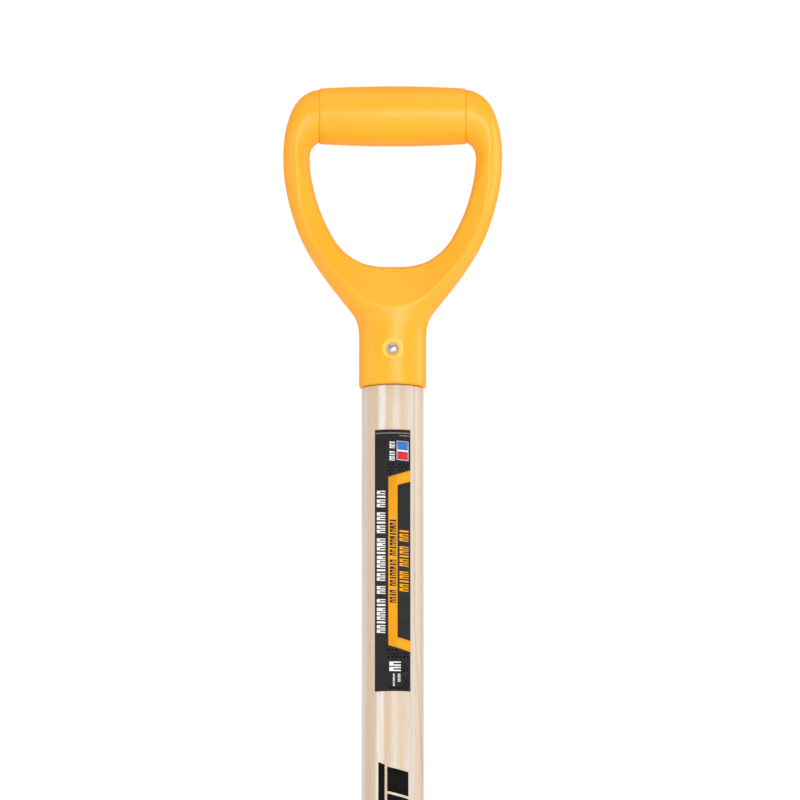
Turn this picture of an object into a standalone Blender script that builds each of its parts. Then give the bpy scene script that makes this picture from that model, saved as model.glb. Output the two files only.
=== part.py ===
"""Grain scoop with a D-grip, a wood shaft and an aluminium pan.

Metres, +Z up the shaft. The origin is the underside of the grip sleeve, where a hook carries
the tool, and the shaft's axis is the line x = 0, y = 0. The pan is open towards -Y.
"""
from math import cos, exp, pi, radians, sin, sqrt, tan

import bmesh
import bpy
from mathutils import Matrix, Vector

GAP = 0.0003                      # left between pieces that touch

# Shaft
SHAFT_RADIUS = 0.01905
TENON_RADIUS = 0.0157
TENON_TOP = -0.1040
EDGE_BREAK = 0.0012

# D-grip: the sleeve's axis, the seams beside it and the round socket below
CAP_RADIUS = 0.0166
SLEEVE_END_RADIUS = 0.01735
SLEEVE_BELLY = 0.00135            # how much thicker the sleeve is at its middle
GRIP_AXIS_Z = SLEEVE_END_RADIUS + SLEEVE_BELLY
SEAM_X = 0.0452
CORE_RADIUS = 0.0120
ARM_HALF_DEPTH = 0.0150
ARM_ROUNDING = 0.0055
SOCKET_RADIUS = 0.0208
SOCKET_RIM_Z = -0.1526
SOCKET_HEAD_Z = -0.0960
SOCKET_BORE = TENON_RADIUS + GAP

# Rivet through the D-grip's socket
GRIP_RIVET_Z = -0.1306
RECESS_RADIUS = 0.0060
RECESS_FLOOR = 0.0187             # distance of the recess floors from the shaft's axis

# Printed film on the shaft
LABEL_TOP = -0.1810
LABEL_LENGTH = 0.1633
LABEL_HALF_ANGLE = radians(34.7)
LABEL_THICKNESS = 0.0003

# Pan: its heel is the point where floor and back wall would meet on the mid plane
LIFT = radians(17)                # tilt of the floor against the shaft
HEEL_Z = -0.7500
AXIS_OVER_HEEL = 0.0420           # shaft's axis above the floor at the heel
PAN_LENGTH = 0.4570
PAN_HALF_WIDTH_TIP = 0.1840
PAN_HALF_WIDTH_HEEL = 0.1660
CORNER_RADIUS = 0.0900
WALL_HEIGHT_HEEL = 0.0850
WALL_HEIGHT_TIP = 0.0260
WALL_RUN = 0.0700                 # how far in the walls' foot reaches
WALL_POWER = 1.8
SHEET = 0.0022
HUMP_WIDTH = 0.0340
HUMP_CLEARANCE = 0.0030
COLUMNS = 46
ROWS = 28

# Tapered socket of the pan, and its base plate under the floor
TUBE_RIM_Z = -0.6250
TUBE_TOE_Z = -0.8400
TUBE_RIM_BORE = SHAFT_RADIUS + GAP
TUBE_TOE_BORE = 0.0156
TUBE_WALL = 0.0024
SHAFT_END_Z = -0.8150
PLATE_THICKNESS = 0.0028
PLATE_REAR = 0.0720
PLATE_FRONT = 0.2440
PLATE_HALF_WIDTH_REAR = 0.0800
PLATE_HALF_WIDTH_FRONT = 0.0700
PLATE_CORNER = 0.0160

# Rivets
SHANK_RADIUS = 0.0025
HEAD_RADIUS = 0.0034
HEAD_HEIGHT = 0.0021
BURR_RADIUS = 0.0052
BURR_THICKNESS = 0.0012
PAN_RIVET_SHANK = 0.0030
PAN_RIVET_HEAD = 0.0060
PAN_RIVET_HEIGHT = 0.0024
PAN_RIVETS = ((0.0660, 0.0960), (0.0610, 0.1620), (0.0550, 0.2250))
TUBE_RIVETS = (("upper", -0.6480), ("lower", -0.7020))

ROUND_STEPS = 40
SMALL_STEPS = 16

along_floor = Vector((0.0, -sin(LIFT), -cos(LIFT)))
off_floor = Vector((0.0, -cos(LIFT), sin(LIFT)))
heel = Vector((0.0, AXIS_OVER_HEEL * cos(LIFT), HEEL_Z))


def pan_point(x, s, h):
    """The point x across the pan, s from the heel towards the tip and h above the floor's back."""
    return heel + Vector((x, 0.0, 0.0)) + along_floor * s + off_floor * h


# ---------------------------------------------------------------- scene and materials

for old in list(bpy.data.objects):
    bpy.data.objects.remove(old, do_unlink=True)

parts = bpy.data.collections.new("grain_scoop")
cutters = bpy.data.collections.new("cutters")
bpy.context.scene.collection.children.link(parts)
bpy.context.scene.collection.children.link(cutters)


def material(name, colour, roughness, metallic=0.0):
    made = bpy.data.materials.new(name)
    made.use_nodes = True
    shader = made.node_tree.nodes["Principled BSDF"]
    shader.inputs["Base Color"].default_value = (*colour, 1.0)
    shader.inputs["Roughness"].default_value = roughness
    shader.inputs["Metallic"].default_value = metallic
    return made


yellow_plastic = material("yellow_plastic", (0.96, 0.49, 0.03), 0.45)
wood = material("wood", (0.80, 0.64, 0.48), 0.50)
label_film = material("label_film", (0.035, 0.035, 0.035), 0.35)
aluminium = material("aluminium", (0.78, 0.79, 0.80), 0.38, 1.0)
socket_alloy = material("socket_alloy", (0.66, 0.67, 0.69), 0.42, 1.0)
rivet_steel = material("rivet_steel", (0.70, 0.71, 0.73), 0.30, 1.0)


# ---------------------------------------------------------------- modelling helpers

def add_object(name, mesh, collection, finish=None, matrix=None):
    made = bpy.data.objects.new(name, mesh)
    collection.objects.link(made)
    if matrix is not None:
        made.matrix_world = matrix
    if finish is not None:
        mesh.materials.clear()
        mesh.materials.append(finish)
    if collection is cutters:
        made.hide_render = True
        made.display_type = "WIRE"
    return made


def smooth(made, angle=35):
    made.data.shade_smooth()
    made.data.set_sharp_from_angle(angle=radians(angle))


def turned(name, profile, collection, finish=None, matrix=None, steps=ROUND_STEPS):
    """A profile of (radius, height) points, top to bottom, turned about its own Z axis.

    A profile that ends where it began is a closed ring section.
    """
    mesh = bpy.data.meshes.new(name)
    points = profile[:-1] if profile[0] == profile[-1] else profile
    edges = [(i, (i + 1) % len(points)) for i in range(len(profile) - 1)]
    mesh.from_pydata([(r, 0.0, z) for r, z in points], edges, [])
    made = add_object(name, mesh, collection, finish, matrix)
    screw = made.modifiers.new("turn", "SCREW")
    screw.axis = "Z"
    screw.angle = 2 * pi
    screw.steps = steps
    screw.render_steps = steps
    screw.use_merge_vertices = True
    screw.merge_threshold = 0.00001
    screw.use_smooth_shade = True
    return made


def tube_profile(outer_top, inner_top, outer_bottom, inner_bottom, top, bottom):
    """A closed ring section, from its inner top edge over the outside and back up the bore."""
    return [(inner_top, top), (outer_top, top), (outer_bottom, bottom), (inner_bottom, bottom),
            (inner_top, top)]


def rod(name, radius, low, high, matrix, steps=SMALL_STEPS):
    """A cutter: a solid cylinder from low to high on its own Z axis."""
    mesh = bpy.data.meshes.new(name)
    shape = bmesh.new()
    bmesh.ops.create_cone(shape, cap_ends=True, segments=steps, radius1=radius, radius2=radius,
                          depth=high - low, matrix=Matrix.Translation((0, 0, (high + low) / 2)))
    shape.to_mesh(mesh)
    shape.free()
    return add_object(name, mesh, cutters, matrix=matrix)


def boolean(target, other, operation):
    step = target.modifiers.new(f"{operation.lower()}_{other.name}", "BOOLEAN")
    step.operation = operation
    step.object = other
    step.solver = "EXACT"


def rounded(target, width, segments=2, angle=40):
    step = target.modifiers.new("rounded_edges", "BEVEL")
    step.width = width
    step.segments = segments
    step.limit_method = "ANGLE"
    step.angle_limit = radians(angle)


def flat_outline(name, points, half_depth, collection, finish=None, matrix=None):
    """A slab: a flat outline of (x, y) points, extruded both ways along its own Z."""
    curve = bpy.data.curves.new(name, "CURVE")
    curve.dimensions = "2D"
    curve.fill_mode = "BOTH"
    curve.extrude = half_depth
    line = curve.splines.new("POLY")
    line.points.add(len(points) - 1)
    for point, (x, y) in zip(line.points, points):
        point.co = (x, y, 0.0, 1.0)
    line.use_cyclic_u = True
    drawn = bpy.data.objects.new(name, curve)
    collection.objects.link(drawn)
    bpy.context.view_layer.update()
    mesh = bpy.data.meshes.new_from_object(drawn.evaluated_get(bpy.context.evaluated_depsgraph_get()))
    bpy.data.objects.remove(drawn, do_unlink=True)
    bpy.data.curves.remove(curve)
    shape = bmesh.new()
    shape.from_mesh(mesh)
    bmesh.ops.remove_doubles(shape, verts=shape.verts, dist=0.00001)
    bmesh.ops.recalc_face_normals(shape, faces=shape.faces)
    shape.to_mesh(mesh)
    shape.free()
    mesh.name = name
    return add_object(name, mesh, collection, finish, matrix)


def smooth_line(points, steps):
    """Points on the smooth curve through the given ones, which it meets at both ends."""
    ends = [2 * Vector(points[0]) - Vector(points[1])] + [Vector(p) for p in points]
    ends.append(2 * Vector(points[-1]) - Vector(points[-2]))
    line = []
    for a, b, c, d in zip(ends, ends[1:], ends[2:], ends[3:]):
        for i in range(steps):
            t = i / steps
            line.append(b + 0.5 * t * (c - a + t * (2 * a - 5 * b + 4 * c - d
                                                    + t * (3 * b - a - 3 * c + d))))
    line.append(Vector(points[-1]))
    return [(p.x, p.y) for p in line]


def corner_arc(x, y, radius, start, steps=5):
    """A quarter circle that rounds the corner at (x, y) and begins at the angle `start`."""
    middle_x = x - radius * sqrt(2) * cos(start + pi / 4)
    middle_y = y - radius * sqrt(2) * sin(start + pi / 4)
    angles = [start + i * pi / 2 / steps for i in range(steps + 1)]
    return [(middle_x + radius * cos(a), middle_y + radius * sin(a)) for a in angles]


def mirrored(line):
    """The line, then its mirror image run backwards. The shared middle point is kept once."""
    back = [(-x, y) for x, y in reversed(line)]
    return line + (back[1:] if abs(line[-1][0]) < 1e-6 else back)


def domed_rivet(name, shank, head, height, reach, tail, matrix, steps=SMALL_STEPS):
    """A rivet on its own Z: a dome that rises from z = 0, a shank down to -reach, and the peened
    tail of radius `tail` past it."""
    dome = [(head * sin(a), height * cos(a)) for a in (i * pi / 8 for i in range(5))]
    lower = [(tail * cos(a), -reach - height * 0.7 * sin(a)) for a in (i * pi / 6 for i in range(4))]
    lower[-1] = (0.0, -reach - height * 0.7)
    return turned(name, dome + [(shank, 0.0), (shank, -reach)] + lower, parts, rivet_steel, matrix,
                  steps)


# Local Z of a rivet along the world's -Y, so that its head faces the front
facing_front = Matrix.Rotation(radians(90), 4, "X")
# Local Z along the world's X, for what is turned about the grip's axis
along_grip = Matrix.Translation((0, 0, GRIP_AXIS_Z)) @ Matrix.Rotation(radians(90), 4, "Y")
# Local X, Y and Z across the pan, from heel to tip, and out of its back
on_pan = Matrix.Translation(heel) @ Matrix((
    (1.0, 0.0, 0.0, 0.0),
    (0.0, along_floor.y, -off_floor.y, 0.0),
    (0.0, along_floor.z, -off_floor.z, 0.0),
    (0.0, 0.0, 0.0, 1.0)))


# ---------------------------------------------------------------- shaft

def tube_bore(z):
    share = (TUBE_RIM_Z - z) / (TUBE_RIM_Z - TUBE_TOE_Z)
    return TUBE_RIM_BORE + (TUBE_TOE_BORE - TUBE_RIM_BORE) * share


def make_shaft():
    shoulder = SOCKET_RIM_Z - GAP
    end_radius = tube_bore(SHAFT_END_Z) - GAP
    profile = [(0.0, TENON_TOP),
               (TENON_RADIUS - EDGE_BREAK, TENON_TOP),
               (TENON_RADIUS, TENON_TOP - EDGE_BREAK),
               (TENON_RADIUS, shoulder),
               (SHAFT_RADIUS, shoulder),
               (SHAFT_RADIUS, (shoulder + TUBE_RIM_Z) / 2),
               (SHAFT_RADIUS, TUBE_RIM_Z),
               (end_radius, SHAFT_END_Z + EDGE_BREAK),
               (end_radius - EDGE_BREAK, SHAFT_END_Z),
               (0.0, SHAFT_END_Z)]
    shaft = turned("shaft", profile, parts, wood)
    for z in (GRIP_RIVET_Z, *(place for _, place in TUBE_RIVETS)):
        hole = rod(f"shaft_hole_{round(-z * 1000)}", SHANK_RADIUS + GAP, -0.03, 0.03,
                   Matrix.Translation((0, 0, z)) @ facing_front)
        boolean(shaft, hole, "DIFFERENCE")


# ---------------------------------------------------------------- D-grip

def make_d_grip_frame():
    outside = smooth_line([(SEAM_X, 0.0356), (0.0574, 0.0302), (0.0643, 0.0186), (0.0679, -0.0014),
                           (0.0673, -0.0212), (0.0617, -0.0460), (0.0506, -0.0707),
                           (0.0380, -0.0893), (0.0279, -0.1017), (0.0200, -0.1160)], 4)
    inside = smooth_line([(SEAM_X, 0.0020), (0.0506, -0.0030), (0.0516, -0.0100), (0.0493, -0.0274),
                          (0.0433, -0.0460), (0.0318, -0.0655), (0.0226, -0.0719),
                          (0.0115, -0.0754), (0.0, -0.0764)], 3)
    outline = mirrored(outside) + list(reversed(mirrored(inside)))
    frame = flat_outline("d_grip_frame", outline, ARM_HALF_DEPTH, parts, yellow_plastic,
                         facing_front)
    rounded(frame, ARM_ROUNDING)
    for side, sign in (("right", 1), ("left", -1)):
        cap = turned(f"cap_{side}",
                     [(0.0, 0.0080), (0.0110, 0.0064), (CAP_RADIUS, 0.0), (CAP_RADIUS, -0.0001),
                      (0.0, -0.0001)], cutters,
                     matrix=Matrix.Translation((sign * (SEAM_X + 0.0001), 0, GRIP_AXIS_Z))
                     @ Matrix.Rotation(sign * radians(90), 4, "Y"))
        boolean(frame, cap, "UNION")
    core = rod("core", CORE_RADIUS, -SEAM_X - 0.006, SEAM_X + 0.006, along_grip, 24)
    boolean(frame, core, "UNION")
    socket = turned("socket", [(0.0, SOCKET_HEAD_Z), (SOCKET_RADIUS * 0.7, SOCKET_HEAD_Z),
                               (SOCKET_RADIUS, SOCKET_HEAD_Z - 0.012),
                               (SOCKET_RADIUS, SOCKET_RIM_Z + EDGE_BREAK),
                               (SOCKET_RADIUS - EDGE_BREAK, SOCKET_RIM_Z),
                               (0.0, SOCKET_RIM_Z)], cutters)
    boolean(frame, socket, "UNION")
    bore = rod("socket_bore", SOCKET_BORE, SOCKET_RIM_Z - 0.01, TENON_TOP + GAP, Matrix(),
               ROUND_STEPS)
    boolean(frame, bore, "DIFFERENCE")
    through = Matrix.Translation((0, 0, GRIP_RIVET_Z)) @ facing_front
    boolean(frame, rod("grip_rivet_hole", SHANK_RADIUS + GAP, -0.03, 0.03, through), "DIFFERENCE")
    boolean(frame, rod("recess_front", RECESS_RADIUS, RECESS_FLOOR, 0.03, through, 24),
            "DIFFERENCE")
    boolean(frame, rod("recess_back", RECESS_RADIUS, -0.03, -RECESS_FLOOR, through, 24),
            "DIFFERENCE")


def make_grip_sleeve():
    half = SEAM_X - GAP
    bore = CORE_RADIUS + GAP
    stations = 12
    outside = []
    for i in range(stations + 1):
        t = 1 - 2 * i / stations
        outside.append((SLEEVE_END_RADIUS + SLEEVE_BELLY * (1 - t * t), half * t))
    profile = [(bore, half)] + outside + [(bore, -half), (bore, half)]
    turned("grip_sleeve", profile, parts, yellow_plastic, along_grip, 36)


# ---------------------------------------------------------------- label

def make_shaft_label():
    inner = SHAFT_RADIUS + GAP
    steps = 10
    mesh = bpy.data.meshes.new("shaft_label")
    shape = bmesh.new()
    for z in (LABEL_TOP, LABEL_TOP - LABEL_LENGTH):
        for i in range(steps + 1):
            a = LABEL_HALF_ANGLE * (2 * i / steps - 1)
            shape.verts.new((inner * sin(a), -inner * cos(a), z))
    shape.verts.ensure_lookup_table()
    for i in range(steps):
        shape.faces.new([shape.verts[k] for k in (i, steps + 1 + i, steps + 2 + i, i + 1)])
    shape.to_mesh(mesh)
    shape.free()
    label = add_object("shaft_label", mesh, parts, label_film)
    shell = label.modifiers.new("thickness", "SOLIDIFY")
    shell.thickness = LABEL_THICKNESS
    shell.offset = 1.0


# ---------------------------------------------------------------- pan

def half_width(s):
    """Half the pan's width at s, before its heel corners are rounded."""
    return PAN_HALF_WIDTH_HEEL + (PAN_HALF_WIDTH_TIP - PAN_HALF_WIDTH_HEEL) * s / PAN_LENGTH


def outline_half_width(s):
    if s >= CORNER_RADIUS:
        return half_width(s)
    return half_width(s) - CORNER_RADIUS + sqrt(CORNER_RADIUS ** 2 - (CORNER_RADIUS - s) ** 2)


def from_outline(x, s):
    """How far a point of the pan lies inside its sides and heel."""
    across = abs(x) - (half_width(s) - CORNER_RADIUS)
    behind = CORNER_RADIUS - s
    if across > 0 and behind > 0:
        return CORNER_RADIUS - sqrt(across ** 2 + behind ** 2)
    return min(half_width(s) - abs(x), s)


def wall_height(s):
    """Height of the rim: even round the heel, then falling in a soft S to the tip."""
    t = min(max((s - 0.09) / (PAN_LENGTH - 0.09), 0.0), 1.0)
    return WALL_HEIGHT_HEEL + (WALL_HEIGHT_TIP - WALL_HEIGHT_HEEL) * (0.35 * t + 0.65 * t * t)


def soft_max(a, b, reach):
    near = max(reach - abs(a - b), 0.0) / reach
    return max(a, b) + near * near * reach / 4


def axis_height(s):
    """Height of the shaft's axis over the floor's back."""
    return AXIS_OVER_HEEL - s * tan(LIFT)


def hump_height(x, s):
    tube = (TUBE_RIM_BORE + TUBE_WALL) / cos(LIFT)
    crest = soft_max(axis_height(s) + tube + HUMP_CLEARANCE, 0.0, 0.012)
    return crest * exp(-(x / HUMP_WIDTH) ** 4)


def pan_height(x, s):
    wall = wall_height(s) * max(1 - from_outline(x, s) / WALL_RUN, 0.0) ** WALL_POWER
    hump = hump_height(x, s)
    if hump < 0.0002 or wall < 0.0002:
        return max(hump, wall)
    return soft_max(wall, hump, min(hump, wall, 0.014))


def make_scoop_blade():
    mesh = bpy.data.meshes.new("scoop_blade")
    shape = bmesh.new()
    bmesh.ops.create_grid(shape, x_segments=COLUMNS, y_segments=ROWS, size=1.0)
    for vert in shape.verts:
        u = 0.45 * vert.co.x + 0.55 * sin(vert.co.x * pi / 2)
        v = (vert.co.y + 1) / 2
        s = PAN_LENGTH * (0.15 * v + 0.85 * (1 - cos(v * pi / 2)) * (0.6 + 0.4 * v))
        x = outline_half_width(s) * u
        vert.co = pan_point(x, s, pan_height(x, s))
    bmesh.ops.reverse_faces(shape, faces=shape.faces)
    shape.to_mesh(mesh)
    shape.free()
    blade = add_object("scoop_blade", mesh, parts, aluminium)
    shell = blade.modifiers.new("sheet", "SOLIDIFY")
    shell.thickness = SHEET
    shell.offset = 1.0
    shell.use_even_offset = True
    for side in (-1, 1):
        for number, (x, s) in enumerate(PAN_RIVETS):
            hole = rod(f"pan_hole_{number}_{side + 1}", PAN_RIVET_SHANK + GAP, -0.02, 0.02,
                       on_pan @ Matrix.Translation((side * x, s, 0)))
            boolean(blade, hole, "DIFFERENCE")
    smooth(blade)


def make_blade_socket():
    wall = TUBE_WALL
    tube = turned("blade_socket", tube_profile(TUBE_RIM_BORE + wall, TUBE_RIM_BORE,
                                               TUBE_TOE_BORE + wall, TUBE_TOE_BORE,
                                               TUBE_RIM_Z, TUBE_TOE_Z), parts, socket_alloy)
    middle = GAP + PLATE_THICKNESS / 2
    outline = []
    for x, s, start in ((PLATE_HALF_WIDTH_FRONT, PLATE_FRONT, 0),
                        (-PLATE_HALF_WIDTH_FRONT, PLATE_FRONT, 1),
                        (-PLATE_HALF_WIDTH_REAR, PLATE_REAR, 2),
                        (PLATE_HALF_WIDTH_REAR, PLATE_REAR, 3)):
        outline += corner_arc(x, s, PLATE_CORNER, start * pi / 2)
    plate = flat_outline("base_plate", outline, PLATE_THICKNESS / 2, cutters,
                         matrix=on_pan @ Matrix.Translation((0, 0, middle)))
    under = bpy.data.meshes.new("under_plate")
    shape = bmesh.new()
    bmesh.ops.create_cube(shape, size=1.0, matrix=Matrix.Diagonal((0.2, 0.3, 0.05, 1.0)))
    shape.to_mesh(under)
    shape.free()
    below = add_object("under_plate", under, cutters, matrix=on_pan @ Matrix.Translation(
        (0, 0.12, GAP + PLATE_THICKNESS * 0.8 + 0.025)))
    boolean(tube, below, "DIFFERENCE")
    boolean(tube, plate, "UNION")
    for side in (-1, 1):
        for number, (x, s) in enumerate(PAN_RIVETS):
            hole = rod(f"plate_hole_{number}_{side + 1}", PAN_RIVET_SHANK + GAP, -0.02, 0.02,
                       on_pan @ Matrix.Translation((side * x, s, 0)))
            boolean(tube, hole, "DIFFERENCE")
    for label, z in TUBE_RIVETS:
        boolean(tube, rod(f"tube_hole_{label}", SHANK_RADIUS + GAP, -0.03, 0.03,
                          Matrix.Translation((0, 0, z)) @ facing_front), "DIFFERENCE")


# ---------------------------------------------------------------- rivets

def make_pan_rivets():
    number = 1
    for x, s in PAN_RIVETS:
        for side in (-1, 1):
            stack = SHEET + PLATE_THICKNESS + 3 * GAP
            place = pan_point(side * x, s, SHEET + GAP)
            turn = on_pan.to_3x3().to_4x4() @ Matrix.Rotation(pi, 4, "X")
            domed_rivet(f"blade_rivet_{number}", PAN_RIVET_SHANK, PAN_RIVET_HEAD,
                        PAN_RIVET_HEIGHT, stack, PAN_RIVET_HEAD * 0.85,
                        Matrix.Translation(place) @ turn)
            number += 1


def make_cross_rivet(name, z, seat):
    """A rivet from front to back at height z. Its head and its burr sit `seat` off the axis."""
    across = Matrix.Translation((0, -seat - GAP, z)) @ facing_front
    reach = 2 * (seat + GAP) + BURR_THICKNESS + GAP
    domed_rivet(name, SHANK_RADIUS, HEAD_RADIUS, HEAD_HEIGHT, reach, HEAD_RADIUS, across)
    bore = SHANK_RADIUS + GAP
    burr = Matrix.Translation((0, seat + GAP, z)) @ facing_front
    turned(f"{name}_burr", tube_profile(BURR_RADIUS, bore, BURR_RADIUS, bore, 0.0,
                                        -BURR_THICKNESS), parts, rivet_steel, burr, SMALL_STEPS)


make_d_grip_frame()
make_grip_sleeve()
make_cross_rivet("d_grip_rivet", GRIP_RIVET_Z, RECESS_FLOOR)
make_shaft()
make_shaft_label()
make_scoop_blade()
make_blade_socket()
make_pan_rivets()
for level, height in TUBE_RIVETS:
    make_cross_rivet(f"socket_rivet_{level}", height, tube_bore(height) + TUBE_WALL)
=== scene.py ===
"""The looks of a grain scoop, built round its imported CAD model. Metres, +Z up the shaft."""
from math import asin, atan, cos, pi, radians, sin, sqrt, tan

import bmesh
import bpy
import numpy as np
from mathutils import Matrix, Vector


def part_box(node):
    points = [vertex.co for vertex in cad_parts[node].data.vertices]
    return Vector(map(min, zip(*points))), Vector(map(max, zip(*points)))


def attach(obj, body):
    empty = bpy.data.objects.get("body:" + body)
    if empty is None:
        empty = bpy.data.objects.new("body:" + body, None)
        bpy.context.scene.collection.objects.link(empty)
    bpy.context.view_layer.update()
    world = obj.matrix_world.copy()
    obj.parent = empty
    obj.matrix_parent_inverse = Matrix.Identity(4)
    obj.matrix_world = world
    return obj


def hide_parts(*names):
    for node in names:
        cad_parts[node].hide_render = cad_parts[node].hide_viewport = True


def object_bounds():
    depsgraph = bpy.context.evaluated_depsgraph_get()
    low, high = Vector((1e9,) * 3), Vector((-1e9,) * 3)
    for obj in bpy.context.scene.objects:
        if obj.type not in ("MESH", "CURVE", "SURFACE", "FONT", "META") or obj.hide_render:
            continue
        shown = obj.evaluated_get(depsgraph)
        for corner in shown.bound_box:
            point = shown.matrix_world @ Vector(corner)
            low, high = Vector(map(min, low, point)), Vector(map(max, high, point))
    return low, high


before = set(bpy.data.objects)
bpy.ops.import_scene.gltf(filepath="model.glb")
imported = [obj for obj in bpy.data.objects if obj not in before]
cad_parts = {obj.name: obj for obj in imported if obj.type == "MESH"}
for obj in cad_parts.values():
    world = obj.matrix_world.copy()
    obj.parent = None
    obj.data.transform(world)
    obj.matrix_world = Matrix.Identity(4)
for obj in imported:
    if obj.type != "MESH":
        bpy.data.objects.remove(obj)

cad_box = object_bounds()
BODY = "root"

# ---------------- sizes, from the frame

sleeve_low, sleeve_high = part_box("grip_sleeve")
shaft_low, shaft_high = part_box("shaft")
grip_low, grip_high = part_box("d_grip_frame")
label_low, label_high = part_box("shaft_label")
grip_rivet_low, grip_rivet_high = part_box("d_grip_rivet")

GRIP_AXIS_Z = (sleeve_low.z + sleeve_high.z) / 2
SLEEVE_HALF = sleeve_high.x
SLEEVE_RADIUS = (sleeve_high.z - sleeve_low.z) / 2
SLEEVE_END_RADIUS = 0.01735
SHAFT_RADIUS = shaft_high.x
SOCKET_RIM_Z = grip_low.z
SOCKET_RADIUS = grip_high.y
LABEL_TOP = label_high.z
LABEL_LENGTH = label_high.z - label_low.z
GRIP_RIVET_Z = (grip_rivet_low.z + grip_rivet_high.z) / 2

MM = 0.001
GAP = 0.0003

# ---------------- mesh helpers


def placed(name, data):
    made = bpy.data.objects.new(name, data)
    bpy.context.scene.collection.objects.link(made)
    return made


def new_piece(name, mesh, finish, slot, *replaced):
    """Links a piece that rides the body. It stands for the nodes that are named last, if any."""
    piece = placed(name, mesh)
    mesh.materials.clear()
    mesh.materials.append(finish)
    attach(piece, BODY)
    if replaced:
        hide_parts(*replaced)
    return piece


def mesh_from(name, verts, faces, sharp=None):
    """A smooth mesh, with its edges kept sharp from the angle `sharp` in degrees."""
    mesh = bpy.data.meshes.new(name)
    mesh.from_pydata([tuple(map(float, v)) for v in verts], [], [tuple(map(int, f)) for f in faces])
    mesh.validate()
    mesh.shade_smooth()
    if sharp:
        mesh.set_sharp_from_angle(angle=radians(sharp))
    return mesh


def lathe(profile, steps, matrix=None, warp=None):
    """Vertices and faces of a closed profile of (radius, height) points, turned about Z.

    Points on the axis become one vertex. warp(verts) may move the vertices before the matrix.
    """
    verts = []
    rings = []
    for radius, height in profile:
        if radius < 1e-7:
            rings.append([len(verts)])
            verts.append((0.0, 0.0, height))
            continue
        rings.append(list(range(len(verts), len(verts) + steps)))
        verts += [(radius * cos(2 * pi * i / steps), radius * sin(2 * pi * i / steps), height)
                  for i in range(steps)]
    faces = []
    for upper, lower in zip(rings, rings[1:]):
        for i in range(steps):
            k = (i + 1) % steps
            if len(upper) == 1:
                faces.append((upper[0], lower[i], lower[k]))
            elif len(lower) == 1:
                faces.append((upper[k], upper[i], lower[0]))
            else:
                faces.append((upper[k], upper[i], lower[i], lower[k]))
    verts = np.array(verts)
    if warp is not None:
        verts = warp(verts)
    if matrix is not None:
        turn = np.array(matrix)
        verts = verts @ turn[:3, :3].T + turn[:3, 3]
    return verts, faces


def smooth_line(points, steps):
    """The smooth curve through the points, given in millimetres, as an array in metres."""
    p = np.array(points, dtype=float) * MM
    p = np.vstack([2 * p[0] - p[1], p, 2 * p[-1] - p[-2]])
    t = np.arange(steps)[:, None] / steps
    runs = [b + 0.5 * t * (c - a + t * (2 * a - 5 * b + 4 * c - d + t * (3 * b - a - 3 * c + d)))
            for a, b, c, d in zip(p, p[1:], p[2:], p[3:])]
    return np.vstack(runs + [p[-2:-1]])


def soft_max(a, b, reach):
    near = np.maximum(reach - np.abs(a - b), 0) / reach
    return np.maximum(a, b) + near * near * reach / 4


def soft_min(a, b, reach):
    return -soft_max(-a, -b, reach)


def soft_step(value, low, high):
    t = np.clip((value - low) / (high - low), 0, 1)
    return t * t * (3 - 2 * t)


# ---------------- materials


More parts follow.
